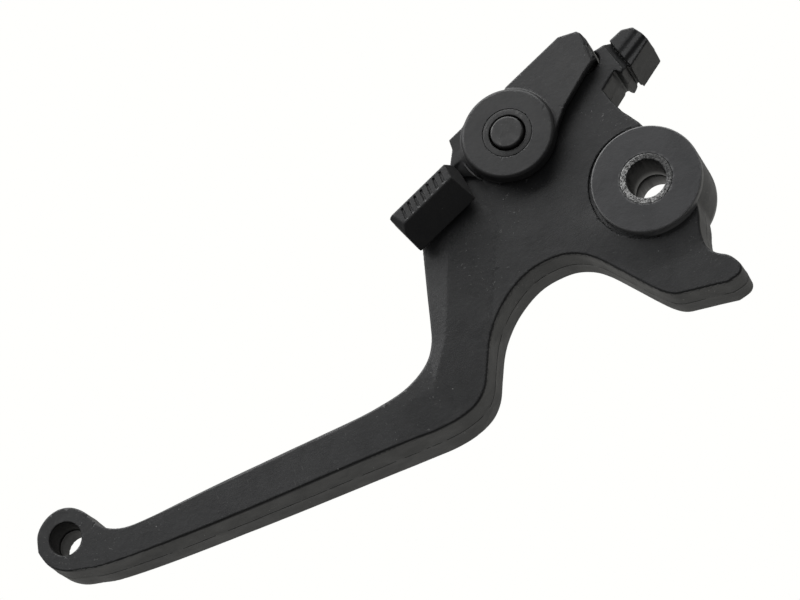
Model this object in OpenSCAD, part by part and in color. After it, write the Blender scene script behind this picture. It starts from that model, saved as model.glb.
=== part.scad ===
// Hand lever with a sprung parking latch.
// Frame: the origin is on the pivot bore's axis, halfway between the two boss
// faces. +Z runs along the pivot bore towards the front (latch) side, +X points
// from the finger blade's tip towards the pivot, +Y points away from the blade.
// All lengths are in millimetres.

/* [Pivot boss] */
// Radius of the round boss that carries the pivot bolt
boss_r = 14.25; // [13:0.25:16]
// Length of the boss along the pivot
boss_len = 18.5; // [17.5:0.25:20]
// Radius of the pivot bolt hole, inside the sleeves
pivot_r = 5.1; // [4.5:0.05:5.5]
// Outer radius of the two pressed sleeves
sleeve_r = 6.75; // [6.4:0.05:7.2]
// Length of the front sleeve, the share of the bore it fills
front_sleeve_len = 11; // [8:0.5:13]

/* [Lever body] */
// Thickness of the flat plate around the boss
plate_t = 14.5; // [13:0.25:15.5]
// Thickness of the neck and the root of the finger blade
neck_t = 17.5; // [16:0.25:18]
// Thickness of the blade at its tip eye
tip_t = 14; // [13:0.25:15.5]
// Radius of the eye at the tip
eye_r = 4.4; // [3.5:0.1:5]
// Width of the bevel along the neck's outer edge
bevel_w = 5; // [2:0.5:6]
// Width of the groove across the stalk
groove_w = 1.8; // [1:0.1:2.5]
// Depth of the groove across the stalk
groove_d = 1.2; // [0.4:0.1:1.6]

/* [Latch] */
// Radius of the latch's round hub
hub_r = 12.1; // [11.5:0.1:12.4]
// Radius of the hub's foot
flange_r = 12.4; // [12.2:0.1:12.8]
// Height of the hub's top face above the lever's middle
hub_top = 11; // [10.6:0.1:12]
// Height of the latch arm's top face
arm_top = 9.75; // [9.2:0.05:10.4]
// Height of the thumb paddle's top face
paddle_top = 14.75; // [13.5:0.25:16]
// Running gap between the latch and the lever's faces
face_gap = 0.35; // [0.3:0.05:0.6]
// Depth of the rear block's inner face, behind the lever's middle
rear_in = 11; // [10.8:0.05:11.3]
// Depth of the rear block's outer face
rear_out = 17.5; // [16.5:0.25:18.5]
// Radius of the small round holes in the rear block
small_hole_r = 1.6; // [1:0.1:1.8]

/* [Pin and spring] */
// Radius of the latch pin's shank
pin_r = 3; // [2.6:0.1:3.2]
// Radius of the latch pin's head
head_r = 4.25; // [4:0.05:4.5]
// Height of the pin head's top face
head_top = 11.8; // [11.2:0.1:13]
// Depth of the pin's tip behind the lever's middle
tip_z = 22; // [20:0.25:23]
// Radial running clearance of the latch on its pin
run_gap = 0.06; // [0.02:0.01:0.09]
// Outer radius of the round bush in the hub
bush_r = 6.5; // [5.8:0.1:7]
// Radius of the recess in the bush that takes the pin's head
recess_r = 4.85; // [4.7:0.05:5.2]
// Wire diameter of the torsion spring
wire_d = 0.9; // [0.7:0.1:1]
// Mean radius of the spring's coil
coil_r = 6.3; // [6:0.1:6.8]
// Full turns in the spring's coil
turns = 2; // [1:1:2]

/* [Hidden] */
$fn = 64;

plate_h = plate_t / 2;
neck_h = neck_t / 2;
tip_h = tip_t / 2;
boss_h = boss_len / 2;
pin_xy = [-27.9, 26.8];          // latch axis
eye_xy = [-172.1, -23.2];      // tip eye
peg_xy = [-10.6, 20.6];        // spring peg on the back face
peg_r = 1.9;
peg_z = 10.3;                  // depth of the peg's end
collar_r = 5.2;                // collar on the back face inside the spring
collar_z = 10.6;
seat_z = 8.6;                  // underside of the pin head and of the hub bush

// A smooth closed or open line through given points (centripetal feel, n steps each)
function cr(a, b, c, d, t) = 0.5 * ((2 * b) + (c - a) * t
    + (2 * a - 5 * b + 4 * c - d) * t * t + (3 * b - a - 3 * c + d) * t * t * t);
function smooth(p, n) = [for (i = [0 : len(p) - 2]) for (k = [0 : n - 1])
    cr(p[max(i - 1, 0)], p[i], p[i + 1], p[min(i + 2, len(p) - 1)], k / n)];

// Outline of the lever, lower edge from the tip eye to the stop nose
low_pts = [[-180.3, -23.6], [-178.6, -28.2], [-174.8, -31.5], [-169.9, -33.1],
    [-163.8, -34.5], [-147, -36], [-121, -37.2], [-96, -37.9], [-79.5, -38.4],
    [-71.5, -38.6], [-65.2, -37.9], [-60.2, -36], [-56.8, -32.6], [-54.2, -27.2],
    [-51.6, -21.8], [-48.8, -17.8], [-44.8, -13.9], [-40, -10.8], [-35.6, -9.1],
    [-31, -8.6], [-26.6, -9], [-22.4, -10.9], [-19, -14], [-15, -19.2],
    [-10.4, -25.4], [-7.4, -29], [-4.6, -31.1], [-1, -32], [4, -33]];
// Nose and the edge that runs back up to the boss
nose_pts = [[8.6, -34], [12, -33.2], [13.4, -31.4], [12.9, -29.2], [11.4, -26.9],
    [8.8, -24.9], [7.4, -22.6], [7.3, -19.6], [7.9, -16.8], [8.8, -14.2], [9.6, -10.4]];
// Short edge between the boss and the root of the stalk
root_pts = [[5, 13.2], [3.6, 16.4], [2.3, 18.6], [0.9, 20.9], [-0.5, 24.6], [-1.4, 28.2]];
// Stalk, from the inner corner out to its end and back
stalk_pts = [[3, 31.5], [4.4, 30.2], [6.4, 31.7], [7.6, 30.4], [13.9, 35.9], [13.7, 38.6],
    [11.6, 41.2], [8.5, 41.9], [4.2, 40.3], [-0.3, 39.6]];
// Notch beside the stalk that clears the latch head, and the pin's shoulder
top_pts = [[0.55, 37.6], [0.3, 36.4], [-0.8, 35.4], [-3, 34.7], [-6, 34.3],
    [-9.2, 34.4], [-12.4, 34.9], [-16, 35.7], [-20.6, 36.6], [-26.5, 37.2], [-32.5, 36.3],
    [-38, 33], [-42.6, 29.2], [-46.8, 25.4], [-52.2, 22], [-56.4, 17.6],
    [-58.9, 13], [-60, 7.6], [-62.8, -3.6], [-64.6, -10.9], [-66, -15.6],
    [-68.6, -19.8], [-72.6, -22.9], [-77.6, -25], [-84, -26], [-91, -26.4],
    [-110, -26.5], [-128, -26.6], [-140, -26.9], [-149.3, -27.2], [-156, -26.9],
    [-160.5, -25.2], [-163.1, -22.4], [-165, -18.6], [-168, -15.8], [-171.8, -14.8],
    [-175.8, -15.9], [-179, -18.9], [-180.3, -23.6]];

// Half thickness along the lever, seen from the side
side_pts = [[-190, tip_h - 0.3], [-165, tip_h + 0.1], [-130, tip_h + 0.6], [-100, neck_h - 0.3],
    [-80, neck_h], [-54, neck_h], [-44, plate_h], [40, plate_h]];

module outline_2d() {
    polygon(concat(smooth(low_pts, 3), smooth(nose_pts, 3), root_pts, stalk_pts,
        smooth(top_pts, 3)));
}

module side_2d() {
    polygon(concat(side_pts, [for (i = [len(side_pts) - 1 : -1 : 0])
        [side_pts[i][0], -side_pts[i][1]]]));
}

// Prism that cuts the bevel along the neck's outer edge, on one face
module neck_bevel(side) {
    translate([-60.4, 8, side * neck_h])
        rotate([0, 0, 256.5])
            rotate([90, 0, 90])
                translate([0, 0, -3])
                    linear_extrude(height = 27)
                        polygon([[-4, side * 0.6], [-4, -side * 2.2], [0, -side * 2.2],
                            [bevel_w, 0], [bevel_w, side * 0.6]]);
}

// Shallow groove cut around the stalk
module stalk_groove() {
    translate([3.7, 40.4, 0]) rotate([0, 0, -74])
        for (s = [-1, 1]) {
            translate([-1.5, -groove_w / 2, s > 0 ? plate_h - groove_d : -plate_h - 2])
                cube([12, groove_w, 2 + groove_d]);
        }
    translate([6.4, 31.7, -12]) cylinder(r = 0.4, h = 24);
}

module lever_body() {
    color([0.19, 0.19, 0.2])
    difference() {
        union() {
            difference() {
                intersection() {
                    translate([0, 0, -12]) linear_extrude(height = 24) outline_2d();
                    rotate([90, 0, 0]) translate([0, 0, -60])
                        linear_extrude(height = 120) side_2d();
                }
                neck_bevel(1);
                neck_bevel(-1);
                stalk_groove();
            }
            translate([0, 0, -boss_h]) cylinder(r = boss_r, h = boss_len);
            // spring peg and the collar that centres the coil
            translate([peg_xy[0], peg_xy[1], -peg_z]) cylinder(r = peg_r, h = peg_z - 6);
            translate([pin_xy[0], pin_xy[1], -collar_z]) cylinder(r = collar_r, h = collar_z - 6);
        }
        // seats of the two pivot sleeves
        translate([0, 0, -boss_h - 1]) cylinder(r = sleeve_r, h = boss_len + 2);
        // tip eye
        translate([eye_xy[0], eye_xy[1], -12]) cylinder(r = eye_r, h = 24);
        // hole for the latch pin
        translate([pin_xy[0], pin_xy[1], -15]) cylinder(r = pin_r, h = 30);
    }
}

// One pressed sleeve with a small chamfer at its outer mouth
module sleeve(len) {
    difference() {
        cylinder(r = sleeve_r, h = len);
        translate([0, 0, -1]) cylinder(r = pivot_r, h = len + 2);
    }
}

module pivot_sleeve_front() {
    color([0.32, 0.32, 0.33])
    translate([0, 0, boss_h - front_sleeve_len]) sleeve(front_sleeve_len);
}

module pivot_sleeve_rear() {
    color([0.3, 0.3, 0.3])
    translate([0, 0, -boss_h]) sleeve(boss_len - front_sleeve_len);
}

// End of the latch head with its two locking steps
head_pts = [[-6.9, 46.1], [-2, 45.4], [-1.2, 44.5], [-0.6, 42.4], [-1.3, 40.9],
    [-0.4, 38.4], [0.1, 36.6], [-0.9, 36]];
// Arm of the latch, its long edges running back under the hub
arm_pts = concat([[-24.2, 39.4]], head_pts, [[-4.5, 33.5], [-8.3, 30.4], [-12.1, 27.4],
    [-18.2, 20.3], [-27, 20], [-32, 30]]);
// Stem that joins the hub and the thumb paddle, with the small stop lug
stem_pts = [[-36, 35], [-38.8, 33.8], [-42.6, 32.3], [-42.7, 29.6], [-45.4, 24.6],
    [-48.4, 18.4], [-47, 14.6], [-42, 13.8], [-34, 14.6], [-31, 20]];
// Part of the head that reaches past the lever's edge, from the front to the back
bridge_pts = [[-7.4, 45.7], [-2.2, 45.1], [-1.2, 44.4], [-0.4, 42.3], [-0.4, 40.9],
    [-0.8, 40.1], [-0.8, 39.2], [-0.4, 38.2], [-0.2, 37.2], [-1.4, 36.2], [-4.2, 35.6],
    [-7.4, 35.5]];
// Rear block
rear_pts = [[-42.3, 32.2], [-39.9, 25.4], [-37.4, 18.8], [-27.2, 21], [-19, 24.6],
    [-11.6, 29], [-4.2, 33.1], [-1.2, 35.2], [-0.2, 37.2], [-0.4, 38.2], [-0.8, 39.2],
    [-0.8, 40.1], [-0.4, 40.9], [-0.4, 42.3], [-1.2, 44.4], [-2.2, 45.1], [-7.4, 45.7],
    [-11, 44.6]];

paddle_o = [-63.6, 17.2];      // outer far corner of the paddle's top face
paddle_a = 21.7;               // direction of the paddle's long side
paddle_z = neck_h + 0.35;      // underside of the paddle, clear of the neck

module paddle() {
    translate([paddle_o[0], paddle_o[1], 0]) rotate([0, 0, paddle_a])
        difference() {
            rotate([90, 0, 90]) linear_extrude(height = 21.4)
                polygon([[-10.6, paddle_z], [0, paddle_z], [0, paddle_top],
                    [-4.3, paddle_top]]);
            // slanted near end
            translate([20.6, 1, paddle_top]) rotate([0, 0, 26]) rotate([0, -30, 0])
                translate([0, -14, -4]) cube([8, 16, 12]);
            // slanted far end of the top face
            translate([1.7, -4.3, paddle_top]) rotate([0, 0, -12]) rotate([0, 32, 0])
                translate([-8, -8, -3]) cube([8, 12, 8]);
        }
}

module park_latch() {
    z0 = plate_h + face_gap;
    color([0.17, 0.17, 0.18])
    difference() {
        union() {
            // front arm, stem and hub
            translate([0, 0, z0]) linear_extrude(height = arm_top - z0) polygon(arm_pts);
            translate([0, 0, 8.4]) linear_extrude(height = 1.1) polygon(stem_pts);
            translate([pin_xy[0], pin_xy[1], 0]) rotate_extrude()
                polygon([[0, z0], [flange_r, z0], [hub_r, hub_top - 0.8], [hub_r - 0.25, hub_top - 0.3],
                    [hub_r - 0.75, hub_top], [0, hub_top]]);
            paddle();
            // head that passes the lever's edge, and the rear block
            translate([0, 0, -rear_out + 3]) linear_extrude(height = rear_out - 3 + arm_top - 0.5)
                polygon(bridge_pts);
            difference() {
                translate([0, 0, -rear_out]) linear_extrude(height = rear_out - rear_in)
                    polygon(rear_pts);
                // sloped rear end of the head
                translate([-7.2, 46, -rear_out]) rotate([0, 0, -30]) rotate([0, 40, 0])
                    translate([0, -14, -12]) cube([10, 22, 12]);
            }
        }
        // bush seat, pin bore and the small holes of the rear block
        translate([pin_xy[0], pin_xy[1], z0 - 1]) cylinder(r = bush_r, h = 10);
        translate([pin_xy[0], pin_xy[1], -rear_out - 1])
            cylinder(r = pin_r + run_gap, h = rear_out - rear_in + 2);
        for (p = [[-10.4, 39.3], [-15, 33.2], [-37.3, 30.2]])
            translate([p[0], p[1], -rear_out - 1]) cylinder(r = small_hole_r, h = rear_out - rear_in + 2);
    }
}

module hub_bush() {
    z0 = plate_h + face_gap;
    color([0.16, 0.16, 0.17])
    translate([pin_xy[0], pin_xy[1], 0]) difference() {
        translate([0, 0, z0]) cylinder(r = bush_r, h = hub_top - z0);
        translate([0, 0, z0 - 1]) cylinder(r = pin_r + run_gap, h = 6);
        translate([0, 0, seat_z]) cylinder(r = recess_r, h = 6);
    }
}

module latch_pin() {
    color([0.22, 0.22, 0.23])
    translate([pin_xy[0], pin_xy[1], 0]) rotate_extrude()
        polygon([[0, -tip_z], [pin_r - 0.9, -tip_z], [pin_r, -tip_z + 0.9], [pin_r, seat_z + 0.1],
            [head_r, seat_z + 0.1], [head_r, head_top - 0.4], [head_r - 0.4, head_top], [0, head_top]]);
}

// Torsion spring: hook round the peg, straight leg, coil, leg bent into the block
z_leg = -plate_h - 0.7;        // centre line of the leg beside the lever
z_end = -rear_in + 0.6;        // centre line of the leg beside the rear block
hook_r = peg_r + wire_d / 2 + 0.12;
hook_pts = [for (a = [-120 : 30 : 90])
    [peg_xy[0] + hook_r * cos(a), peg_xy[1] + hook_r * sin(a), z_leg]];
leg_a = 262;                   // where the straight leg meets the coil
end_a = 212;                   // where the other leg leaves it
sweep_a = turns * 360 + leg_a - end_a;
coil_pts = [for (i = [0 : 54]) let (a = leg_a - i * sweep_a / 54)
    [pin_xy[0] + coil_r * cos(a), pin_xy[1] + coil_r * sin(a), z_leg + (z_end - z_leg) * i / 54]];
tail_pts = [[-36.6, 29.1, z_end], [-37.05, 29.8, z_end - 0.3], [-37.25, 30.1, z_end - 1],
    [-37.3, 30.2, z_end - 3]];
wire_path = concat(hook_pts, coil_pts, tail_pts);

function unit(v) = v / norm(v);
function tangent(p, i) = unit(p[min(i + 1, len(p) - 1)] - p[max(i - 1, 0)]);
function side_dir(t) = let (u = abs(t[2]) > 0.8 ? [0, 1, 0] : [0, 0, 1]) unit(cross(u, t));

// Round wire swept along a path of points
module wire(p, r, n) {
    m = len(p);
    pts = [for (i = [0 : m - 1]) let (t = tangent(p, i), a = side_dir(t), b = cross(t, a))
        for (k = [0 : n - 1]) p[i] + r * cos(360 * k / n) * a + r * sin(360 * k / n) * b];
    quads = [for (i = [0 : m - 2]) for (k = [0 : n - 1])
        [i * n + k, i * n + (k + 1) % n, (i + 1) * n + (k + 1) % n, (i + 1) * n + k]];
    polyhedron(points = pts, faces = concat([[for (k = [n - 1 : -1 : 0]) k]], quads,
        [[for (k = [0 : n - 1]) (m - 1) * n + k]]), convexity = 6);
}

module latch_spring() {
    color([0.6, 0.6, 0.62]) wire(wire_path, wire_d / 2, 8);
}

lever_body();
pivot_sleeve_front();
pivot_sleeve_rear();
park_latch();
hub_bush();
latch_pin();
latch_spring();
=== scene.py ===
"""Looks of the hand lever with its sprung parking latch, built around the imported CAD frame.

The two moulded pieces (lever and latch) are shaped as signed distance fields, meshed, and
their vertices are settled on the field, so that edges, grooves and parting lines are real
geometry. The turned pieces are lathed profiles and the spring is a swept wire.
Lengths in this file are millimetres until a mesh is made.
"""

import math

import bpy
import numpy as np
import openvdb as vdb
from mathutils import Matrix, Vector


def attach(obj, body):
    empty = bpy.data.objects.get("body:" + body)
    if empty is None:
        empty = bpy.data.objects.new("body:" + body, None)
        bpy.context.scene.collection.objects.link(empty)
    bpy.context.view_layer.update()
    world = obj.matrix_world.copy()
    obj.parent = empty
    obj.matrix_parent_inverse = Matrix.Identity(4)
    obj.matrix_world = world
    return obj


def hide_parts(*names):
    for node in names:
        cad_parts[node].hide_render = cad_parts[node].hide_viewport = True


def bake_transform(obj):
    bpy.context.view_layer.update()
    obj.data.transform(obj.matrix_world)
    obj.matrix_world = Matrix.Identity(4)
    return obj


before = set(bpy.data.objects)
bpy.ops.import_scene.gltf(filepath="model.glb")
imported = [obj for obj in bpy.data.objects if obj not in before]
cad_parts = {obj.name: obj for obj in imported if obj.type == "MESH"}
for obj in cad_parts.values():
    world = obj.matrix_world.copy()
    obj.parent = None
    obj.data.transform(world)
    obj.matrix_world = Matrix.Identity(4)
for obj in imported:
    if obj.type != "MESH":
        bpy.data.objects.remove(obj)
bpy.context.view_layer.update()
F = np.float32

# ------------------------------------------------------------------ driving sizes (mm)
BOSS_R, BOSS_H = 14.25, 9.25
PIVOT_R, SLEEVE_R, FRONT_SLEEVE = 5.1, 6.75, 11.0
PLATE_H, NECK_H = 7.25, 8.75
PIN = (-27.9, 26.8)
EYE = (-172.1, -23.2)
EYE_R = 4.4
PEG = (-10.6, 20.6)
HUB_R, HUB_TOP, FOOT_R, ARM_TOP = 12.1, 11.0, 12.4, 9.75
PADDLE_TOP, PADDLE_LOW = 14.75, 9.1
REAR_IN, REAR_OUT = 11.0, 17.5
BUSH_R, RECESS_R, HEAD_R, HEAD_TOP, SEAT = 6.5, 4.85, 4.25, 11.8, 8.6
PIN_R, TIP_Z = 3.0, 22.0

LOW = [(-180.3, -23.6), (-178.6, -28.2), (-174.8, -31.5), (-169.9, -33.1),
       (-163.8, -34.5), (-147, -36), (-121, -37.2), (-96, -37.9), (-79.5, -38.4),
       (-71.5, -38.6), (-65.2, -37.9), (-60.2, -36), (-56.8, -32.6), (-54.2, -27.2),
       (-51.6, -21.8), (-48.8, -17.8), (-44.8, -13.9), (-40, -10.8), (-35.6, -9.1),
       (-31, -8.6), (-26.6, -9), (-22.4, -10.9), (-19, -14), (-15, -19.2),
       (-10.4, -25.4), (-7.4, -29), (-4.6, -31.1), (-1, -32), (4, -33)]
NOSE = [(8.6, -34), (12, -33.2), (13.4, -31.4), (12.9, -29.2), (11.4, -26.9),
        (8.8, -24.9), (7.4, -22.6), (7.3, -19.6), (7.9, -16.8), (8.8, -14.2), (9.6, -10.4)]
ROOT = [(5, 13.2), (3.6, 16.4), (2.3, 18.6), (0.9, 20.9), (-0.5, 24.6), (-1.4, 28.2)]
STALK = [(3, 31.5), (4.4, 30.2), (6.4, 31.7), (7.4, 30.3), (10.8, 31.8), (12.7, 33.5),
         (14.05, 35.4), (13.9, 36.8), (13.2, 38.6), (11.6, 41.2), (8.5, 41.9), (4.2, 40.3), (-0.3, 39.6)]
TOP = [(0.55, 37.6), (0.3, 36.4), (-0.8, 35.4), (-3, 34.7), (-6, 34.3),
       (-9.2, 34.4), (-12.4, 34.9), (-16, 35.7), (-20.6, 36.6), (-26.5, 37.2), (-32.5, 36.3),
       (-38, 33), (-42.6, 29.2), (-46.8, 25.4), (-52.2, 22), (-56.4, 17.6),
       (-58.9, 13), (-60, 7.6), (-62.8, -3.6), (-64.6, -10.9), (-66, -15.6),
       (-68.6, -19.8), (-72.6, -22.9), (-77.6, -25), (-84, -26), (-91, -26.4),
       (-110, -26.5), (-128, -26.6), (-140, -26.9), (-149.3, -27.2), (-156, -26.9),
       (-160.5, -25.2), (-163.1, -22.4), (-165, -18.6), (-168, -15.8), (-171.8, -14.8),
       (-175.8, -15.9), (-179, -18.9), (-180.3, -23.6)]

HEAD = [(-6.9, 46.1), (-2, 45.4), (-1.2, 44.5), (-0.6, 42.4), (-1.3, 40.9),
        (-0.4, 38.4), (0.1, 36.6), (-0.9, 36)]
ARM = [(-24.2, 39.4)] + HEAD + [(-4.5, 33.5), (-8.3, 30.4), (-12.1, 27.4),
                                (-18.2, 20.3), (-27, 20), (-32, 30)]
STEM = [(-36, 35), (-38.8, 33.8), (-42.6, 32.3), (-42.7, 29.6), (-45.4, 24.6),
        (-48.4, 18.4), (-47.6, 13.4), (-44, 12.2), (-38, 12.4), (-33.5, 13.4), (-31, 20)]
BRIDGE = [(-7.4, 45.7), (-2.2, 45.1), (-1.2, 44.4), (-0.4, 42.3), (-0.4, 40.9),
          (-0.8, 40.1), (-0.8, 39.2), (-0.4, 38.2), (-0.2, 37.2), (-1.4, 36.2), (-4.2, 35.6),
          (-7.4, 35.5)]
REAR = [(-42.3, 32.2), (-39.9, 25.4), (-37.4, 18.8), (-27.2, 21), (-19, 24.6),
        (-11.6, 29), (-4.2, 33.1), (-1.2, 35.2), (-0.2, 37.2), (-0.4, 38.2), (-0.8, 39.2),
        (-0.8, 40.1), (-0.4, 40.9), (-0.4, 42.3), (-1.2, 44.4), (-2.2, 45.1), (-7.4, 45.7),
        (-11, 44.6)]
PADDLE_O, PADDLE_A = (-63.6, 17.2), 21.7


# ------------------------------------------------------------------ field tools
def smooth_line(p, n):
    p = np.array(p, float)
    out = []
    for i in range(len(p) - 1):
        a, b = p[max(i - 1, 0)], p[i]
        c, d = p[i + 1], p[min(i + 2, len(p) - 1)]
        for k in range(n):
            t = k / n
            out.append(0.5 * (2 * b + (c - a) * t + (2 * a - 5 * b + 4 * c - d) * t * t
                              + (3 * b - a - 3 * c + d) * t ** 3))
    return out


def polygon_field(x, y, poly):
    """Signed distance to a closed polygon, negative inside, on arrays x and y."""
    x, y = x.astype(F), y.astype(F)
    best = np.full(x.shape, 1e9, F)
    inside = np.zeros(x.shape, bool)
    p = [(float(a), float(b)) for a, b in poly]
    for i in range(len(p)):
        ax, ay = p[i]
        bx, by = p[(i + 1) % len(p)]
        ex, ey = bx - ax, by - ay
        ll = ex * ex + ey * ey
        if ll < 1e-12:
            continue
        wx, wy = x - F(ax), y - F(ay)
        t = np.clip((wx * F(ex) + wy * F(ey)) / F(ll), 0, 1)
        dx, dy = wx - F(ex) * t, wy - F(ey) * t
        np.minimum(best, dx * dx + dy * dy, out=best)
        if ay != by:
            crosses = ((ay <= y) != (by <= y)) & (wx < F(ex) * (wy / F(ey)))
            inside ^= crosses
    return np.where(inside, -1, 1).astype(F) * np.sqrt(best)


def smin(a, b, k):
    h = np.clip(0.5 + 0.5 * (b - a) / k, 0, 1)
    return b + (a - b) * h - k * h * (1 - h)


def smax(a, b, k):
    return -smin(-a, -b, k)


def ramp(u, a):
    """max(u, 0) with a rounded corner."""
    return 0.5 * (u + np.sqrt(u * u + a * a))


def step(lo, hi, u):
    t = np.clip((u - lo) / (hi - lo), 0, 1)
    return t * t * (3 - 2 * t)


def rounded(d2, dz, r):
    """A prism of outline distance d2 and face distance dz, edges rounded with radius r."""
    a, b = d2 + r, dz + r
    return (np.sqrt(np.maximum(a, 0) ** 2 + np.maximum(b, 0) ** 2)
            + np.minimum(np.maximum(a, b), 0) - r)


def cubic_sample(grid, x0, y0, h, x, y):
    """Catmull-Rom sample of a 2D grid at points."""
    u = np.clip((x - x0) / h, 1, grid.shape[0] - 2.001)
    v = np.clip((y - y0) / h, 1, grid.shape[1] - 2.001)
    i, j = u.astype(int), v.astype(int)
    i = np.minimum(i, grid.shape[0] - 3)
    j = np.minimum(j, grid.shape[1] - 3)
    fu, fv = u - i, v - j

    def weights(t):
        return (0.5 * (-t + 2 * t * t - t ** 3), 0.5 * (2 - 5 * t * t + 3 * t ** 3),
                0.5 * (t + 4 * t * t - 3 * t ** 3), 0.5 * (-t * t + t ** 3))

    wu, wv = weights(fu), weights(fv)
    out = np.zeros(len(x))
    for a in range(4):
        for b in range(4):
            out += wu[a] * wv[b] * grid[i - 1 + a, j - 1 + b]
    return out


class Field:
    """A shape: plane fields on a grid in x and y, and a function f(x, y, z, plane)."""

    def __init__(self, lo, hi, h, polys, shape):
        self.h, self.shape = h, shape
        self.n = [int(math.ceil((hi[i] - lo[i]) / h)) + 1 for i in range(3)]
        self.ax = [lo[i] + h * np.arange(self.n[i]) for i in range(3)]
        self.lo = lo
        gx, gy = np.meshgrid(self.ax[0], self.ax[1], indexing="ij")
        self.plane = {k: polygon_field(gx, gy, p) for k, p in polys.items()}

    def volume(self):
        x = self.ax[0].astype(F)[:, None, None]
        y = self.ax[1].astype(F)[None, :, None]
        z = self.ax[2].astype(F)[None, None, :]
        plane = {k: v[:, :, None] for k, v in self.plane.items()}
        return np.ascontiguousarray(self.shape(x, y, z, plane), dtype=F)

    def at(self, p):
        x, y, z = p[:, 0], p[:, 1], p[:, 2]
        plane = {k: cubic_sample(v, self.lo[0], self.lo[1], self.h, x, y)
                 for k, v in self.plane.items()}
        return self.shape(x, y, z, plane)

    def gradient(self, p, e=0.06):
        g = np.empty_like(p)
        for a in range(3):
            d = np.zeros(3)
            d[a] = e
            g[:, a] = (self.at(p + d) - self.at(p - d)) / (2 * e)
        return g

    def mesh(self, name, adaptivity):
        f = np.clip(self.volume() / self.h, -3, 3)
        g = vdb.FloatGrid(3.0)
        g.copyFromArray(f)
        p, tris, quads = g.convertToPolygons(isovalue=0.0, adaptivity=adaptivity)
        p = np.array(p, float) * self.h + np.array(self.lo)
        for _ in range(2):
            v = self.at(p)
            n = self.gradient(p)
            n2 = np.maximum((n * n).sum(1), 0.2)
            step_ = (v / n2)[:, None] * n
            length = np.linalg.norm(step_, axis=1)[:, None]
            p -= step_ * np.minimum(1, 0.6 * self.h / np.maximum(length, 1e-9))
        n = self.gradient(p, 0.05)
        n /= np.maximum(np.linalg.norm(n, axis=1), 1e-9)[:, None]
        # corners: the field's own normal, but a large flat face keeps its flat one
        faces, corners = [], []
        for fs in (np.array(tris, int).reshape(-1, 3), np.array(quads, int).reshape(-1, 4)):
            if not len(fs):
                continue
            k = fs.shape[1]
            c = 0.5 * (np.cross(p[fs[:, 1]] - p[fs[:, 0]], p[fs[:, 2]] - p[fs[:, 0]]) if k == 3 else
                       np.cross(p[fs[:, 2]] - p[fs[:, 0]], p[fs[:, 3]] - p[fs[:, 1]]))
            turn = (c * n[fs].mean(1)).sum(1) < 0
            fs[turn] = fs[turn][:, ::-1]
            c[turn] *= -1
            area = np.linalg.norm(c, axis=1)
            keep = area > 1e-7
            fs, c, area = fs[keep], c[keep], area[keep]
            flat = c / area[:, None]
            cn = n[fs]
            off = (cn * flat[:, None, :]).sum(2) < 0.9976
            use = off & (area > 1.6 * self.h ** 2)[:, None]
            cn = np.where(use[:, :, None], flat[:, None, :], cn)
            faces += fs.tolist()
            corners.append(cn.reshape(-1, 3))
        return make_mesh(name, p, faces, np.concatenate(corners))


def make_mesh(name, points, faces, corners):
    """An object from points in millimetres, faces, and one normal for each face corner."""
    me = bpy.data.meshes.new(name)
    me.from_pydata((points * 0.001).tolist(), [], faces)
    for poly in me.polygons:
        poly.use_smooth = True
    if len(me.loops) == len(corners):
        me.normals_split_custom_set(corners.tolist())
    me.update()
    ob = bpy.data.objects.new(name, me)
    bpy.context.scene.collection.objects.link(ob)
    return ob


# ------------------------------------------------------------------ the lever
def lever_outline():
    return (smooth_line(LOW, 8) + smooth_line(NOSE, 8) + [np.array(p, float) for p in ROOT]
            + [np.array(p, float) for p in STALK] + smooth_line(TOP, 8))


def half_height(x, y, side):
    """Half thickness of the lever, front (side 1) or back (side -1)."""
    body = np.interp(x, [-190, -165, -130, -100, -84, -70, 40],
                     [6.7, 7.1, 7.6, 8.42, 8.72, 8.75, 8.75])
    crease = np.interp(y, [-40, -19.2, -6, 5, 10, 16, 30], [-59.8, -50.6, -44.8, -39.9, -39.2, -42.2, -46])
    u = (crease - x) * 0.94
    rise = 0.05 * step(0.0, 0.45, u) + 1.45 * np.clip((ramp(u, 0.6) - ramp(u - 22, 2.0)) / 22, 0, 1)
    h = np.minimum(body, PLATE_H + rise) if side > 0 else np.minimum(
        body, PLATE_H + 1.5 * np.clip((ramp(u, 2.5) - ramp(u - 10, 3)) / 10, 0, 1))
    if side > 0:
        # the plate swells a little below the boss
        q = np.sqrt(x * x + y * y)
        h = h + 0.65 * step(-0.1, 0.7, -y / np.maximum(q, 1.0)) * (1 - step(13.5, 24.0, q))
    # bevel along the neck's outer edge, dying out into the blade
    v = -(x + 53.6) * 0.931 + (y - 4.4) * 0.365 - 0.26 * ramp(-16 - y, 1.5)
    fade = step(-82, -72, x)
    cap = np.interp(y, [-27.5, -24, -20, -15, -8], [0.0, 0.2, 0.55, 1.1, 1.6])
    if side > 0:
        h = h - np.minimum(0.19 * ramp(v, 0.15), cap) * fade
    else:
        h = h - np.minimum(0.30 * ramp(v, 2.0), cap) * fade
    return h


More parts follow.
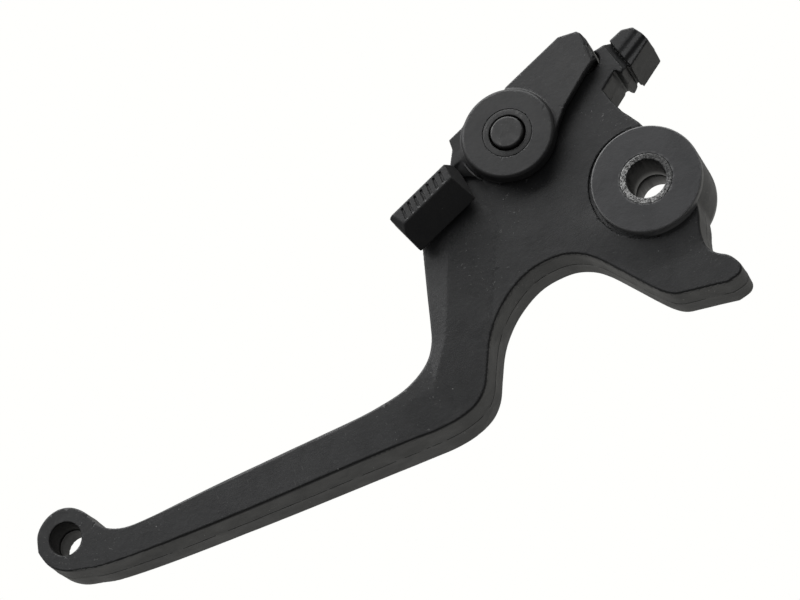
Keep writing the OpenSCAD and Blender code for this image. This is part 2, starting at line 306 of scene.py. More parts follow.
def lever_shape(x, y, z, plane):
    d2 = plane["out"]
    az = np.abs(z)
    hf = half_height(x, y, 1)
    hb = half_height(x, y, -1)
    # walls lean in a little from the parting plane, which stands out as a fine ridge
    ridge = 0.05 * np.exp(-(z / 0.40) ** 2)
    wall = d2 + 0.022 * az - ridge
    face = np.maximum(z - hf, -z - hb)
    blade = step(75, 95, -x)
    r = 0.55 + 0.15 * blade - 0.35 * step(140, 165, -x)
    f = rounded(wall, face, r)

    # stalk: groove across it, and a head with a step, a channel and a rounded shoulder
    gx = (x - 4.2) * 0.961 + (y - 40.6) * 0.276
    gy = (x - 4.2) * 0.276 - (y - 40.6) * 0.961
    w = (x - 7.6) * 0.658 - (y - 30.4) * 0.753 - 0.2 * (gx - 4.0)
    drop = 0.38 * step(-5.6, -4.1, w) + 0.5 * step(-3.0, -1.8, w)
    head = np.minimum(az - (PLATE_H + 0.1 - drop), (gx - 0.3) * 0.7)
    f = smax(f, head, 0.15)
    # its side leans out towards the back
    lean = ((x - 7.2) * 0.579 - (y - 32.1) * 0.815 - 0.5 - 0.055 * (PLATE_H - z)) * 0.99
    f = smax(f, np.minimum(lean, (gx - 0.3) * 0.7), 0.2)
    groove = np.maximum(np.abs(gx + 0.55) - 0.92, np.maximum(-1.6 - gy, gy - 10.2))
    groove = np.maximum(groove, PLATE_H - 0.25 - 0.95 * np.clip(gx + 1.47, 0, 1.84) - az)
    f = smax(f, -groove, 0.25)
    # foot line of the head and the short valley beside the side ridge, both on the side wall
    line = np.sqrt((x - 6.4) ** 2 + (y - 31.75) ** 2) - 0.42
    f = smax(f, -line, 0.15)
    valley = np.sqrt((x - 2.9) ** 2 + (y - 31.1) ** 2) - 0.75 + 0.11 * np.maximum(PLATE_H - az, 0)
    f = smax(f, -valley, 0.2)
    # boss, with its foot and rim
    q = np.sqrt(x * x + y * y)
    turn = step(-0.25, 0.55, -x / np.maximum(q, 1.0))
    moat = np.maximum(np.abs(q - 14.85) - 0.55, hf - 0.42 * turn - az)
    f = smax(f, -moat, 0.15)
    boss = rounded(q - BOSS_R - 0.03 * np.clip(BOSS_H - az, 0, 2), az - BOSS_H, 0.4)
    f = smin(f, boss, 0.15 + 0.3 * (1 - turn))

    # collar and peg on the back face
    qc = np.sqrt((x - PIN[0]) ** 2 + (y - PIN[1]) ** 2)
    collar = rounded(qc - 5.2, np.maximum(-z - 10.6, z + 5.0), 0.3)
    f = smin(f, collar, 0.4)
    qp = np.sqrt((x - PEG[0]) ** 2 + (y - PEG[1]) ** 2)
    peg = rounded(qp - 1.9, np.maximum(-z - 10.3, z + 5.0), 0.35)
    f = smin(f, peg, 0.5)

    # bores
    f = smax(f, -(q - SLEEVE_R), 0.12)
    f = smax(f, -(qc - (PIN_R + 0.02)), 0.15)
    qe = np.sqrt((x - EYE[0]) ** 2 + (y - EYE[1]) ** 2)
    bore = qe - (EYE_R - 0.12 + 0.12 * step(0.0, 0.5, z) - 0.14 * np.exp(-((z + 0.35) / 0.3) ** 2))
    f = smax(f, -bore, 0.2)
    return f


H_LEVER = 0.34
lever_field = Field((-182.5, -41.5, -12.2), (16.5, 44.5, 10.8), H_LEVER,
                    {"out": lever_outline()}, lever_shape)
lever = lever_field.mesh("lever_body_moulded", 0.004)


# ------------------------------------------------------------------ the latch
def local(x, y, o, deg):
    c, s = math.cos(math.radians(deg)), math.sin(math.radians(deg))
    return (x - o[0]) * c + (y - o[1]) * s, -(x - o[0]) * s + (y - o[1]) * c


def latch_shape(x, y, z, plane):
    z0 = PLATE_H + 0.35
    # arm and head
    arm = rounded(plane["arm"], np.maximum(z - ARM_TOP, z0 - z), 0.35)
    arm = smax(arm, ((x + 1.4) + (z - ARM_TOP)) * 0.707, 0.2)
    q = np.sqrt((x - PIN[0]) ** 2 + (y - PIN[1]) ** 2)
    # stem: a lug at its outer edge, its top falling away towards the neck
    u = (x + 42.0) * 0.36 - (y - 25.8) * 0.93
    side = (x - PIN[0]) * 0.96 + (y - PIN[1]) * 0.28
    top = 9.75 - 0.30 * ramp(u, 0.8) + 0.05 * ramp(-u - 2, 0.8)
    s, t = local(x, y, PADDLE_O, PADDLE_A)
    t = -t
    top = np.where(side < -0.5, np.maximum(
        top - (0.22 + 0.45 * step(1.5, 6.0, u)) * ramp(q - 13.7, 0.3) * step(-0.2, 0.6, u), 7.9), top)
    stem = rounded(plane["stem"], np.maximum((z - top) * 0.92, 7.85 - z), 0.15)
    stem = smax(stem, (t - 4.3) * 0.666 + (z - PADDLE_TOP) * 0.746, 0.2)
    f = smin(arm, stem, 0.2)
    hub = rounded(q - HUB_R - 0.1 * np.clip(HUB_TOP - z, 0, 4), np.maximum(z - HUB_TOP, z0 - z), 0.75)
    f = smin(f, hub, 0.7)
    # thin curved rib on the stem beside the hub
    span = -side / np.maximum(q, 1e-3)
    rib = np.maximum(np.abs(q - 13.45) - 0.22, np.maximum(z - 9.35 + 0.5 * step(0.99, 0.9, span), 8.4 - z))
    rib = np.maximum(rib, (0.93 - span) * 10)
    f = smin(f, rib, 0.12)
    # paddle: s along its long side, t across towards the lever's edge
    slope = (t - 4.3) * 0.666 + (z - PADDLE_TOP) * 0.746
    near_end = (s - 19.6) * 0.90 + (z - PADDLE_TOP) * 0.38 + t * 0.23
    far_top = (1.4 - s) * 0.60 + (z - PADDLE_TOP) * 0.79 + (t - 2.0) * 0.12
    paddle = smax(smax(-t, slope, 0.2), smax(z - PADDLE_TOP, PADDLE_LOW - z, 0.2), 0.3)
    paddle = smax(paddle, smax(-s, s - 21.2, 0.3), 0.4)
    paddle = smax(paddle, smax(near_end, far_top, 0.15), 0.25)
    # grip ribs across the paddle's top
    k = np.clip(np.round((s - 3.7) / 2.2), 0, 6)
    rib = (s - 3.7 - 2.2 * k + 0.35 * (t - 2.0)) * 0.94
    cut = np.maximum(np.abs(rib) - 0.27, np.maximum(0.8 - t, t - 3.6))
    cut = np.maximum(cut, PADDLE_TOP - 0.30 - z)
    paddle = smax(paddle, -cut, 0.18)
    f = smin(f, paddle, 0.35)
    # head that passes the lever's edge, and the block behind the lever
    bridge = rounded(plane["bridge"], np.maximum(z - 9.3, -z - 15.0), 0.3)
    f = smin(f, bridge, 0.3)
    rear = rounded(plane["rear"], np.maximum(z + REAR_IN, -z - REAR_OUT), 0.45)
    a, b = local(x, y, (-7.2, 46.0), -30)
    cut = (a * 0.643 - (z + REAR_OUT) * 0.766) + 0.0
    rear = smax(rear, cut, 0.6)
    f = smin(f, rear, 0.35)
    # bush seat, pin bore and the small holes
    seat = np.maximum(q - BUSH_R, z0 - 0.5 - z)
    f = smax(f, -seat, 0.1)
    bore = np.maximum(q - 3.35, z + REAR_IN - 1)
    f = smax(f, -bore, 0.35)
    for (hx, hy), depth in (((-10.4, 39.3), 30), ((-15.0, 33.2), 4.5), ((-37.3, 30.2), 30)):
        h = np.sqrt((x - hx) ** 2 + (y - hy) ** 2) - 1.6
        h = np.maximum(h, z + REAR_IN - 1 if depth > 20 else z + REAR_OUT - depth)
        f = smax(f, -h, 0.25)
    return f


H_LATCH = 0.26
latch_field = Field((-66.5, 4.5, -19.0), (2.5, 48.5, 16.2), H_LATCH,
                    {"arm": ARM, "stem": STEM, "bridge": BRIDGE, "rear": REAR}, latch_shape)
latch = latch_field.mesh("park_latch_moulded", 0.004)


# ------------------------------------------------------------------ turned pieces
def lathe(name, profile, centre, n=96, wobble=None, closed=True):
    """A turned piece from (radius, z) points given anticlockwise in that half plane."""
    prof = [tuple(p) for p in profile]
    pts, faces = [], []
    m = len(prof)
    for i in range(n):
        a = 2 * math.pi * i / n
        for j, (r, z) in enumerate(prof):
            rr, zz = r, z
            if wobble is not None:
                rr, zz = wobble(r, z, a, j)
            pts.append((centre[0] + rr * math.cos(a), centre[1] + rr * math.sin(a), zz))
    rng = m if closed else m - 1
    for i in range(n):
        for j in range(rng):
            a, b = i * m + j, i * m + (j + 1) % m
            c, d = ((i + 1) % n) * m + (j + 1) % m, ((i + 1) % n) * m + j
            faces.append([a, d, c, b])
    me = bpy.data.meshes.new(name)
    me.from_pydata([(x * 0.001, y * 0.001, z * 0.001) for x, y, z in pts], [], faces)
    me.validate()
    ob = bpy.data.objects.new(name, me)
    bpy.context.scene.collection.objects.link(ob)
    import bmesh
    bm = bmesh.new()
    bm.from_mesh(me)
    bmesh.ops.remove_doubles(bm, verts=bm.verts, dist=1e-7)
    bmesh.ops.recalc_face_normals(bm, faces=bm.faces)
    bm.to_mesh(me)
    bm.free()
    for p in me.polygons:
        p.use_smooth = True
    return ob


def arc(cx, cz, r, a0, a1, n):
    return [(cx + r * math.cos(math.radians(a0 + (a1 - a0) * i / n)),
             cz + r * math.sin(math.radians(a0 + (a1 - a0) * i / n))) for i in range(n + 1)]


def ring_noise(a, j, seed):
    """A repeatable small unevenness around a turned edge."""
    s = 0.0
    for k, (m, w) in enumerate(((3, 0.5), (7, 0.35), (13, 0.3), (23, 0.25), (41, 0.22), (67, 0.18))):
        s += w * math.sin(m * a + seed * (k + 1) * 1.7 + j * 0.9 * (k + 1))
    return s


def worn_mouth(seed, amount, z_face):
    def f(r, z, a, j):
        edge = math.exp(-((r - 5.9) / 0.9) ** 2) * math.exp(-((z - z_face) / 0.5) ** 2)
        d = ring_noise(a, j, seed) * amount * edge
        return r + 0.6 * d, z - abs(d) * 1.0 * (1 if z_face > 0 else -1)
    return f


def sleeve_profile(z_lo, z_hi, mouth_up):
    """Sleeve with a rounded, scuffed mouth ring at its outer end."""
    if mouth_up:
        return ([(PIVOT_R, z_lo + 0.15), (PIVOT_R + 0.15, z_lo), (SLEEVE_R - 0.02, z_lo),
                 (SLEEVE_R - 0.02, z_hi - 0.1), (SLEEVE_R - 0.1, z_hi - 0.02)]
                + [(6.5, z_hi), (6.2, z_hi), (5.9, z_hi - 0.02), (5.65, z_hi - 0.05)]
                + arc(PIVOT_R + 0.4, z_hi - 0.45, 0.4, 90, 180, 8))
    return ([(PIVOT_R, z_hi - 0.15)]
            + arc(PIVOT_R + 0.4, z_lo + 0.45, 0.4, 180, 270, 8)
            + [(5.65, z_lo + 0.05), (5.9, z_lo + 0.02), (6.2, z_lo), (6.5, z_lo),
               (SLEEVE_R - 0.1, z_lo + 0.02), (SLEEVE_R - 0.02, z_lo + 0.1),
               (SLEEVE_R - 0.02, z_hi), (PIVOT_R + 0.15, z_hi)])


sleeve_front = lathe("pivot_sleeve_front_turned",
                     sleeve_profile(BOSS_H - FRONT_SLEEVE, BOSS_H, True), (0, 0), 256,
                     worn_mouth(1.3, 0.07, BOSS_H))
sleeve_rear = lathe("pivot_sleeve_rear_turned",
                    sleeve_profile(-BOSS_H, BOSS_H - FRONT_SLEEVE, False), (0, 0), 256,
                    worn_mouth(4.1, 0.07, -BOSS_H))

z0 = PLATE_H + 0.35
bush = lathe("hub_bush_turned",
             [(3.06, z0), (BUSH_R - 0.04, z0)]
             + arc(BUSH_R - 0.04 - 0.16, HUB_TOP - 0.16, 0.16, 0, 90, 4)
             + [(5.6, HUB_TOP), (5.2, HUB_TOP)]
             + arc(RECESS_R + 0.18, HUB_TOP - 0.18, 0.18, 90, 180, 4)
             + [(RECESS_R, SEAT + 0.4), (RECESS_R, SEAT), (3.06, SEAT)], PIN, 128)

pin = lathe("latch_pin_turned",
            [(0.0, -TIP_Z), (PIN_R - 1.0, -TIP_Z)]
            + [(PIN_R - 0.9, -TIP_Z + 0.03), (PIN_R - 0.08, -TIP_Z + 0.85), (PIN_R, -TIP_Z + 1.0)]
            + [(PIN_R, -12.0), (PIN_R, 0.0), (PIN_R, SEAT + 0.02), (HEAD_R, SEAT + 0.02), (HEAD_R, SEAT + 0.3)]
            + arc(HEAD_R - 0.42, HEAD_TOP - 0.42, 0.42, 0, 90, 8)
            + [(3.6, HEAD_TOP), (2.4, HEAD_TOP - 0.015), (1.2, HEAD_TOP - 0.04), (0.0, HEAD_TOP - 0.05)],
            PIN, 128, closed=False)


# ------------------------------------------------------------------ the spring
def spring_path():
    wire, coil_r, turns = 0.9, 6.3, 2
    z_leg, z_end = -PLATE_H - 0.7, -REAR_IN + 0.6
    hook_r = 1.9 + wire / 2 + 0.12
    leg, end = 262, 212
    sweep = turns * 360 + leg - end
    hook = [(PEG[0] + hook_r * math.cos(math.radians(a)), PEG[1] + hook_r * math.sin(math.radians(a)), z_leg)
            for a in range(-120, 91, 10)]
    start = (PIN[0] + coil_r * math.cos(math.radians(leg)), PIN[1] + coil_r * math.sin(math.radians(leg)), z_leg)
    h = hook[-1]
    straight = [tuple(h[i] + (start[i] - h[i]) * k / 10 for i in range(3)) for k in range(1, 10)]
    n = 216
    coil = []
    for i in range(n + 1):
        t = i / n
        a = math.radians(leg - t * sweep)
        coil.append((PIN[0] + coil_r * math.cos(a), PIN[1] + coil_r * math.sin(a), z_leg + (z_end - z_leg) * t))
    tail = [(-36.05, 28.3, z_end), (-36.6, 29.1, z_end - 0.03), (-36.85, 29.5, z_end - 0.12),
            (-37.05, 29.8, z_end - 0.32), (-37.2, 30.02, z_end - 0.65),
            (-37.27, 30.14, z_end - 1.05), (-37.3, 30.2, z_end - 1.6), (-37.3, 30.2, z_end - 3)]
    return hook + straight + coil + tail


def sweep_tube(name, path, r, sides=16):
    p = np.array(path, float)
    m = len(p)
    t = np.gradient(p, axis=0)
    t /= np.linalg.norm(t, axis=1)[:, None]
    u = np.cross(t[0], [0, 0, 1.0])
    u /= np.linalg.norm(u)
    pts, faces = [], []
    for i in range(m):
        u = u - t[i] * (u @ t[i])
        u /= np.linalg.norm(u)
        v = np.cross(t[i], u)
        for k in range(sides):
            a = 2 * math.pi * k / sides
            pts.append(p[i] + r * (math.cos(a) * u + math.sin(a) * v))
    for i in range(m - 1):
        for k in range(sides):
            faces.append([i * sides + k, i * sides + (k + 1) % sides,
                          (i + 1) * sides + (k + 1) % sides, (i + 1) * sides + k])
    faces.append(list(range(sides))[::-1])
    faces.append([(m - 1) * sides + k for k in range(sides)])
    me = bpy.data.meshes.new(name)
    me.from_pydata((np.array(pts) * 0.001).tolist(), [], faces)
    me.validate()
    for q in me.polygons:
        q.use_smooth = len(q.vertices) == 4
    ob = bpy.data.objects.new(name, me)
    bpy.context.scene.collection.objects.link(ob)
    return ob


spring = sweep_tube("latch_spring_wire", spring_path(), 0.45)


# ------------------------------------------------------------------ materials
class Nodes:
    """Short helper for building a material's node tree."""

    def __init__(self, name):
        self.mat = bpy.data.materials.new(name)
        self.mat.use_nodes = True
        self.t = self.mat.node_tree
        self.t.nodes.clear()
        self.out = self.t.nodes.new("ShaderNodeOutputMaterial")
        self.bsdf = self.t.nodes.new("ShaderNodeBsdfPrincipled")
        self.t.links.new(self.bsdf.outputs["BSDF"], self.out.inputs["Surface"])
        self.co = self.t.nodes.new("ShaderNodeTexCoord").outputs["Object"]

    def node(self, kind, **props):
        n = self.t.nodes.new(kind)
        for k, v in props.items():
            setattr(n, k, v)
        return n

    def link(self, a, b):
        self.t.links.new(a, b)

    def put(self, socket, value):
        if isinstance(value, bpy.types.NodeSocket):
            self.link(value, socket)
        else:
            socket.default_value = value

    def noise(self, scale, detail=3.0, rough=0.55, distort=0.0, co=None):
        n = self.node("ShaderNodeTexNoise")
        self.put(n.inputs["Vector"], co or self.co)
        n.inputs["Scale"].default_value = scale
        n.inputs["Detail"].default_value = detail
        n.inputs["Roughness"].default_value = rough
        n.inputs["Distortion"].default_value = distort
        return n.outputs["Fac"]

    def voronoi(self, scale, co=None, feature="F1"):
        n = self.node("ShaderNodeTexVoronoi", feature=feature)
        self.put(n.inputs["Vector"], co or self.co)
        n.inputs["Scale"].default_value = scale
        return n.outputs["Distance"]

    def remap(self, value, a, b, c=0.0, d=1.0, smooth=True):
        n = self.node("ShaderNodeMapRange")
        n.interpolation_type = "SMOOTHSTEP" if smooth else "LINEAR"
        n.clamp = True
        self.put(n.inputs["Value"], value)
        for i, v in enumerate((a, b, c, d)):
            n.inputs[i + 1].default_value = v
        return n.outputs["Result"]

    def math(self, op, a, b=0.0):
        n = self.node("ShaderNodeMath", operation=op)
        self.put(n.inputs[0], a)
        self.put(n.inputs[1], b)
        return n.outputs[0]

    def mix(self, fac, a, b):
        n = self.node("ShaderNodeMix", data_type="RGBA")
        self.put(n.inputs[0], fac)
        self.put(n.inputs[6], a)
        self.put(n.inputs[7], b)
        return n.outputs[2]

    def stretch(self, sx, sy, sz, turn=(0, 0, 0)):
        n = self.node("ShaderNodeMapping")
        self.put(n.inputs["Vector"], self.co)
        n.inputs["Rotation"].default_value = turn
        n.inputs["Scale"].default_value = (sx, sy, sz)
        return n.outputs["Vector"]

    def bump(self, height, distance, strength=1.0, under=None):
        n = self.node("ShaderNodeBump")
        n.inputs["Strength"].default_value = strength
        n.inputs["Distance"].default_value = distance
        self.put(n.inputs["Height"], height)
        if under is not None:
            self.put(n.inputs["Normal"], under)
        return n.outputs["Normal"]


def grey(v, tint=(1, 1, 1)):
    return (v * tint[0], v * tint[1], v * tint[2], 1)


def moulded_nylon(name, dark, light, rough, scuffs=1.0, grain=1.0, lever=False):
    """Black glass filled nylon: fine grain, cloudy flow marks, pale specks and faint scuffs."""
    m = Nodes(name)
    cloud = m.remap(m.noise(42, 4, 0.62, 0.8), 0.36, 0.64)
    patch = m.remap(m.noise(240, 4, 0.6, 0.4), 0.38, 0.62)
    base = m.mix(m.math("ADD", m.math("MULTIPLY", cloud, 0.6), m.math("MULTIPLY", patch, 0.4)), dark, light)
    # pale specks: glass fibre ends and dust in the skin, in loose clusters
    gate = m.remap(m.noise(55, 3, 0.6), 0.52, 0.64)
    speck = m.math("MULTIPLY", m.remap(m.noise(1300, 3, 0.65, 0.6), 0.63, 0.70), gate)
    lone = m.remap(m.voronoi(210), 0.042, 0.026)
    # hairline scuffs in two directions
    s1 = m.remap(m.noise(1.0, 2, 0.6, 0.0, m.stretch(1700, 260, 900, (0, 0, 0.5))), 0.64, 0.72)
    s2 = m.remap(m.noise(1.0, 2, 0.6, 0.0, m.stretch(300, 1600, 900, (0, 0, -0.35))), 0.65, 0.73)
    hair = m.math("MULTIPLY", m.math("MAXIMUM", s1, s2), m.remap(m.noise(38, 3, 0.6), 0.50, 0.62))
    hair = m.math("MULTIPLY", hair, m.remap(m.noise(1100, 3, 0.7), 0.42, 0.60))
    pale = m.math("ADD", m.math("MULTIPLY", speck, 0.34), m.math("MULTIPLY", hair, 0.09))
    pale = m.math("MULTIPLY", m.math("ADD", pale, m.math("MULTIPLY", lone, 0.5)), scuffs)
    col = m.mix(pale, base, (0.34, 0.34, 0.33, 1))
    ro = m.math("ADD", m.remap(m.noise(130, 5, 0.65, 0.5), 0.3, 0.7, rough - 0.07, rough + 0.07, False),
                m.math("MULTIPLY", hair, 0.10))
    fine = m.noise(3000, 3, 0.65)
    n1 = m.bump(fine, 0.00003 * grain, 1.0)
    n1 = m.bump(m.noise(900, 2, 0.5), 0.00003 * grain, 1.0, n1)
    n1 = m.bump(m.noise(150, 3, 0.55), 0.00005, 1.0, n1)
    if lever:
        sep = m.node("ShaderNodeSeparateXYZ")
        m.link(m.co, sep.inputs[0])
        x, y, z = sep.outputs
        r = m.math("SQRT", m.math("ADD", m.math("MULTIPLY", x, x), m.math("MULTIPLY", y, y)))
        az = m.math("ABSOLUTE", z)
        # boss faces, rubbed greyer by the bracket's ears, palest round the bore
        face = m.math("MULTIPLY", m.remap(az, 0.0088, 0.0091), m.remap(r, 0.0144, 0.0140))
        rub = m.remap(m.noise(120, 4, 0.6, 0.5), 0.3, 0.7, 0.75, 1.1)
        col = m.mix(m.math("MULTIPLY", face, rub), col, grey(0.044, (0.97, 0.98, 1.03)))
        # the boss's short wall, painted lighter grey: painted fill light on a wall that stands in shade
        edge = m.math("MULTIPLY", m.remap(az, 0.0074, 0.0077), m.remap(r, 0.0150, 0.0147))
        edge = m.math("MULTIPLY", edge, m.remap(r, 0.0138, 0.0141))
        col = m.mix(edge, col, grey(0.16))
        lip = m.math("MULTIPLY", face, m.remap(r, 0.0076, 0.0066))
        lip = m.math("MULTIPLY", lip, m.remap(m.noise(900, 4, 0.7, 0.3), 0.44, 0.62))
        col = m.mix(m.math("MULTIPLY", lip, 0.55), col, (0.30, 0.30, 0.30, 1))
        # parting line half way down the walls, a broken hairline: a real seam given by the bump, its near-black
        # colour a painted shade of the seam's notch
        wavy = m.math("ADD", z, m.math("MULTIPLY", m.math("SUBTRACT", m.noise(90, 2, 0.5), 0.5), 0.0008))
        line = m.remap(m.math("ABSOLUTE", wavy), 0.00022, 0.00010)
        line = m.math("MULTIPLY", line, m.remap(m.noise(160, 3, 0.6, 0.3), 0.44, 0.50))
        line = m.math("MULTIPLY", line, m.remap(r, 0.0150, 0.0156))
        line = m.math("MULTIPLY", line, m.remap(y, 0.029, 0.028))
        col = m.mix(m.math("MULTIPLY", line, 0.9), col, grey(0.002))
        ro = m.math("ADD", ro, m.math("MULTIPLY", line, 0.5))
        n1 = m.bump(line, -0.0006, 1.0, n1)
        # the tip eye's bore is duller through more roughness, and painted darker, a painted shade inside the hole
        # that is deepest towards the front face
        ex = m.math("SUBTRACT", x, EYE[0] * 0.001)
        ey = m.math("SUBTRACT", y, EYE[1] * 0.001)
        re = m.math("SQRT", m.math("ADD", m.math("MULTIPLY", ex, ex), m.math("MULTIPLY", ey, ey)))
        bore = m.math("MULTIPLY", m.remap(re, 0.00462, 0.00450), m.remap(z, -0.004, 0.003, 0.3, 1.0))
        col = m.mix(bore, col, grey(0.005))
        ro = m.math("ADD", ro, m.math("MULTIPLY", bore, 0.25))
    m.link(col, m.bsdf.inputs["Base Color"])
    m.link(ro, m.bsdf.inputs["Roughness"])
    m.link(n1, m.bsdf.inputs["Normal"])
    m.bsdf.inputs["Specular IOR Level"].default_value = 0.5
    m.bsdf.inputs["IOR"].default_value = 1.5
    return m.mat


def worn_sleeve(name):
    """Sleeve of the same black nylon with its mouth ring rubbed pale."""
    m = Nodes(name)
    sep = m.node("ShaderNodeSeparateXYZ")
    m.link(m.co, sep.inputs[0])
    x, y, z = sep.outputs
    r = m.math("SQRT", m.math("ADD", m.math("MULTIPLY", x, x), m.math("MULTIPLY", y, y)))
    az = m.math("ABSOLUTE", z)
    at_face = m.remap(az, 0.0082, 0.0090)
    ring = m.math("MULTIPLY", m.remap(r, 0.0051, 0.0054), m.remap(r, 0.0074, 0.0066))
    # rubbed most on the side away from the stalk
    side = m.remap(m.math("ADD", m.math("MULTIPLY", x, -60.0), m.math("MULTIPLY", y, -25.0)), -0.36, 0.16, 0.22, 1.0)
    rub = m.remap(m.noise(1.0, 5, 0.75, 0.3, m.stretch(2000, 2000, 900)), 0.42, 0.60)
    pale = m.math("MULTIPLY", m.math("MULTIPLY", ring, at_face), m.math("MULTIPLY", rub, side))
    base = m.mix(m.remap(m.noise(260, 3, 0.6), 0.35, 0.65), grey(0.010), grey(0.022))
    col = m.mix(pale, base, (0.50, 0.50, 0.49, 1))
    m.link(col, m.bsdf.inputs["Base Color"])
    inside = m.math("MULTIPLY", m.remap(r, 0.0054, 0.0052), m.remap(z, -0.0025, 0.002, -0.16, 0.30))
    ro = m.math("ADD", m.remap(pale, 0, 1, 0.42, 0.55, False), inside)
    m.link(ro, m.bsdf.inputs["Roughness"])
    rough = m.math("MULTIPLY", m.noise(1.0, 4, 0.7, 0.3, m.stretch(1300, 1300, 700)), at_face)
    n1 = m.bump(rough, 0.00008, 1.0)
    m.link(m.bump(m.noise(3000, 2, 0.6), 0.00002, 1.0, n1), m.bsdf.inputs["Normal"])
    return m.mat


def turned_black(name, centre, dark, light, rough):
    """Black turned piece with faint rings from the tool and a few rubbed spots."""
    m = Nodes(name)
    sub = m.node("ShaderNodeVectorMath", operation="SUBTRACT")
    m.link(m.co, sub.inputs[0])
    sub.inputs[1].default_value = (centre[0] * 0.001, centre[1] * 0.001, 0)
    sep = m.node("ShaderNodeSeparateXYZ")
    m.link(sub.outputs[0], sep.inputs[0])
    r = m.math("SQRT", m.math("ADD", m.math("MULTIPLY", sep.outputs[0], sep.outputs[0]),
                              m.math("MULTIPLY", sep.outputs[1], sep.outputs[1])))
    rings = m.node("ShaderNodeTexNoise", noise_dimensions="1D")
    m.link(m.math("MULTIPLY", r, 1.0), rings.inputs["W"])
    rings.inputs["Scale"].default_value = 5200
    rings.inputs["Detail"].default_value = 2
    spot = m.remap(m.noise(700, 4, 0.65, 0.4), 0.56, 0.70)
    base = m.mix(m.remap(m.noise(330, 3, 0.6), 0.35, 0.65), dark, light)
    m.link(m.mix(m.math("MULTIPLY", spot, 0.26), base, (0.30, 0.30, 0.29, 1)), m.bsdf.inputs["Base Color"])
    m.link(m.remap(m.noise(240, 2, 0.5), 0.3, 0.7, rough - 0.05, rough + 0.06, False), m.bsdf.inputs["Roughness"])
    n1 = m.bump(rings.outputs["Fac"], 0.000012, 1.0)
    m.link(m.bump(m.noise(2600, 2, 0.6), 0.000015, 1.0, n1), m.bsdf.inputs["Normal"])
    return m.mat


def drawn_wire(name):
    """Bright drawn spring steel with a fine uneven surface and a trace of rust."""
    m = Nodes(name)
    stain = m.remap(m.noise(420, 4, 0.7, 0.5), 0.58, 0.72)
    base = m.mix(m.remap(m.noise(900, 3, 0.6), 0.35, 0.65), (0.46, 0.45, 0.43, 1), (0.62, 0.61, 0.59, 1))
    m.link(m.mix(stain, base, (0.17, 0.085, 0.042, 1)), m.bsdf.inputs["Base Color"])
    m.bsdf.inputs["Metallic"].default_value = 1.0
    m.link(m.remap(stain, 0, 1, 0.27, 0.65, False), m.bsdf.inputs["Roughness"])
    m.link(m.bump(m.noise(2600, 3, 0.6), 0.00001, 1.0), m.bsdf.inputs["Normal"])
    return m.mat


mat_lever = moulded_nylon("black_nylon_lever", grey(0.012, (0.97, 0.99, 1.04)), grey(0.021, (0.98, 1.0, 1.03)), 0.53,
                          lever=True)
mat_latch = moulded_nylon("black_nylon_latch", grey(0.022, (0.98, 0.99, 1.03)), grey(0.032), 0.53, 0.4, 0.8)
mat_sleeve = worn_sleeve("worn_sleeve")
mat_bush = turned_black("black_bush", PIN, grey(0.021), grey(0.029), 0.52)
mat_pin = turned_black("black_oxide_pin", PIN, grey(0.028), grey(0.046), 0.50)
mat_spring = drawn_wire("drawn_spring_wire")

for ob, mat, body, node, slot in (
        (lever, mat_lever, "lever", "lever_body", "lever_nylon"),
        (sleeve_front, mat_sleeve, "lever", "pivot_sleeve_front", "sleeve"),
        (sleeve_rear, mat_sleeve, "lever", "pivot_sleeve_rear", "sleeve"),
        (latch, mat_latch, "latch", "park_latch", "latch_nylon"),
        (bush, mat_bush, "latch", "hub_bush", "bush"),
        (pin, mat_pin, "lever", "latch_pin", "pin")):
    ob.data.materials.append(mat)
    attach(ob, body)
    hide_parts(node)
spring.data.materials.append(mat_spring)
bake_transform(spring)
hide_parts("latch_spring")

# the CAD nodes that the pieces stand for carry the same finishes
for n, mat in (("lever_body", mat_lever), ("pivot_sleeve_front", mat_sleeve),
               ("pivot_sleeve_rear", mat_sleeve), ("park_latch", mat_latch),
               ("hub_bush", mat_bush), ("latch_pin", mat_pin), ("latch_spring", mat_spring)):
    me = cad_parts[n].data
    me.materials.clear()
    me.materials.append(mat)


# ------------------------------------------------------------------ floor, light, camera
def glow(name, colour, strength):
    m = bpy.data.materials.new(name)
    m.use_nodes = True
    t = m.node_tree
    t.nodes.clear()
    out = t.nodes.new("ShaderNodeOutputMaterial")
    em = t.nodes.new("ShaderNodeEmission")
    em.inputs["Color"].default_value = colour
    em.inputs["Strength"].default_value = strength
    clear = t.nodes.new("ShaderNodeBsdfTransparent")
    mix = t.nodes.new("ShaderNodeMixShader")
    geo = t.nodes.new("ShaderNodeNewGeometry")
    t.links.new(geo.outputs["Backfacing"], mix.inputs[0])
    t.links.new(em.outputs[0], mix.inputs[1])
    t.links.new(clear.outputs[0], mix.inputs[2])
    t.links.new(mix.outputs[0], out.inputs["Surface"])
    return m


def floor(name, z, size, strength, colour=(1.0, 1.0, 0.985, 1)):
    me = bpy.data.meshes.new(name)
    n = 24
    pts = [((i / n - 0.5) * size, (j / n - 0.5) * size, z) for i in range(n + 1) for j in range(n + 1)]
    faces = [[i * (n + 1) + j, (i + 1) * (n + 1) + j, (i + 1) * (n + 1) + j + 1, i * (n + 1) + j + 1]
             for i in range(n) for j in range(n)]
    me.from_pydata(pts, [], faces)
    ob = bpy.data.objects.new(name, me)
    bpy.context.scene.collection.objects.link(ob)
    me.materials.append(glow(name + "_white", colour, strength))
    return ob


# the pale floor that is seen, and the weaker bounce that it gives the part
seen = floor("studio_floor", -TIP_Z * 0.001 - 0.0003, 4.0, 1.0)
seen.visible_diffuse = seen.visible_glossy = seen.visible_transmission = seen.visible_shadow = False
bounce = floor("studio_bounce", -TIP_Z * 0.001 - 0.0002, 4.0, 0.56, (1.0, 0.99, 0.95, 1))
bounce.visible_camera = False

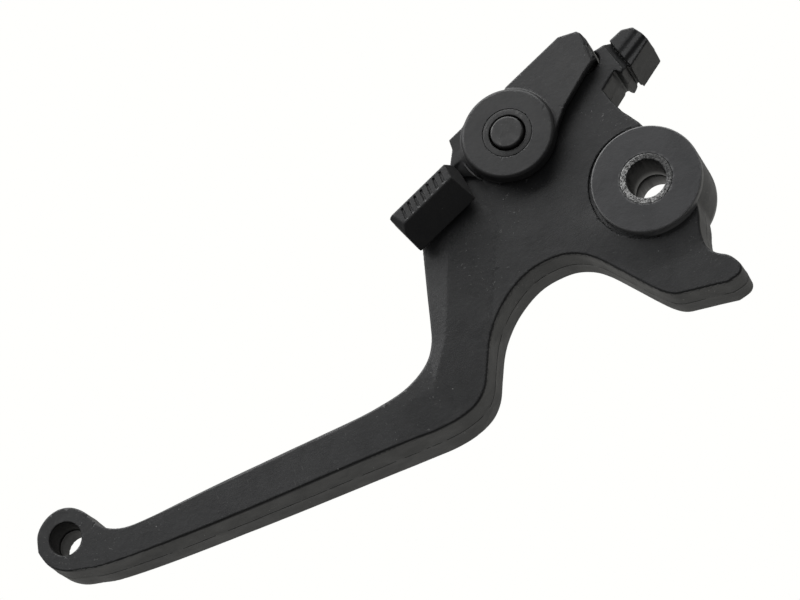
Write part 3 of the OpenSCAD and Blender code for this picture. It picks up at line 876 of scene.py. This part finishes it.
world = bpy.data.worlds.new("studio")
bpy.context.scene.world = world
world.use_nodes = True
wt = world.node_tree
wt.nodes.clear()
wout = wt.nodes.new("ShaderNodeOutputWorld")
wbg = wt.nodes.new("ShaderNodeBackground")
wt.links.new(wbg.outputs[0], wout.inputs[0])
wco = wt.nodes.new("ShaderNodeTexCoord")


def towards(direction, lo, hi, power):
    """A soft patch of sky around a direction: 0 at cosine lo, 1 at cosine hi."""
    d = Vector(direction).normalized()
    dot = wt.nodes.new("ShaderNodeVectorMath")
    dot.operation = "DOT_PRODUCT"
    wt.links.new(wco.outputs["Generated"], dot.inputs[0])
    dot.inputs[1].default_value = d
    r = wt.nodes.new("ShaderNodeMapRange")
    r.interpolation_type = "SMOOTHSTEP"
    wt.links.new(dot.outputs["Value"], r.inputs["Value"])
    r.inputs[1].default_value = lo
    r.inputs[2].default_value = hi
    r.inputs[3].default_value = 0.0
    r.inputs[4].default_value = power
    return r.outputs["Result"]


def add(a, b):
    n = wt.nodes.new("ShaderNodeMath")
    n.operation = "ADD"
    for s, v in zip(n.inputs, (a, b)):
        if isinstance(v, bpy.types.NodeSocket):
            wt.links.new(v, s)
        else:
            s.default_value = v
    return n.outputs[0]


sky = add(0.11, towards((-0.45, 0.85, 0.22), 0.60, 0.95, 0.5))
wt.links.new(sky, wbg.inputs["Strength"])
wbg.inputs["Color"].default_value = (0.97, 0.98, 1.0, 1)


def softbox(name, direction, distance, size, power, colour=(1, 1, 1)):
    light = bpy.data.lights.new(name, "AREA")
    light.shape = "RECTANGLE"
    light.size, light.size_y = size
    light.energy = power
    light.color = colour
    ob = bpy.data.objects.new(name, light)
    d = Vector(direction).normalized()
    ob.location = Vector((-0.07, 0.0, 0.0)) + d * distance
    ob.rotation_mode = "QUATERNION"
    ob.rotation_quaternion = d.to_track_quat("Z", "Y")
    bpy.context.scene.collection.objects.link(ob)
    return ob


softbox("key_softbox", (-0.1, 0.90, 0.42), 1.3, (2.0, 0.62), 27.5)

# camera: the studio shot's viewing angle and distance
R = np.array([[0.90019848, -0.32460443, -0.29030098],
              [-0.41068476, -0.85452718, -0.31799579],
              [-0.14484724, 0.40548152, -0.90255416]])
T = np.array([61.625, -30.25, 912.5]) - R @ np.array([0, 0, 8.75])
place = -R.T @ T * 0.001
cam_data = bpy.data.cameras.new("camera")
cam_data.lens, cam_data.sensor_width, cam_data.sensor_fit = 164.25, 36.0, "HORIZONTAL"
cam_data.clip_start, cam_data.clip_end = 0.05, 20
cam_data.dof.use_dof = False
cam = bpy.data.objects.new("camera", cam_data)
bpy.context.scene.collection.objects.link(cam)
axes = Matrix((R[0], -R[1], -R[2])).transposed().to_4x4()
cam.matrix_world = Matrix.Translation(Vector(place)) @ axes
bpy.context.scene.camera = cam

scene = bpy.context.scene
scene.view_settings.view_transform = "Standard"
scene.view_settings.look = "None"
scene.view_settings.exposure = 0.0
scene.view_settings.gamma = 1.0

bpy.context.view_layer.update()
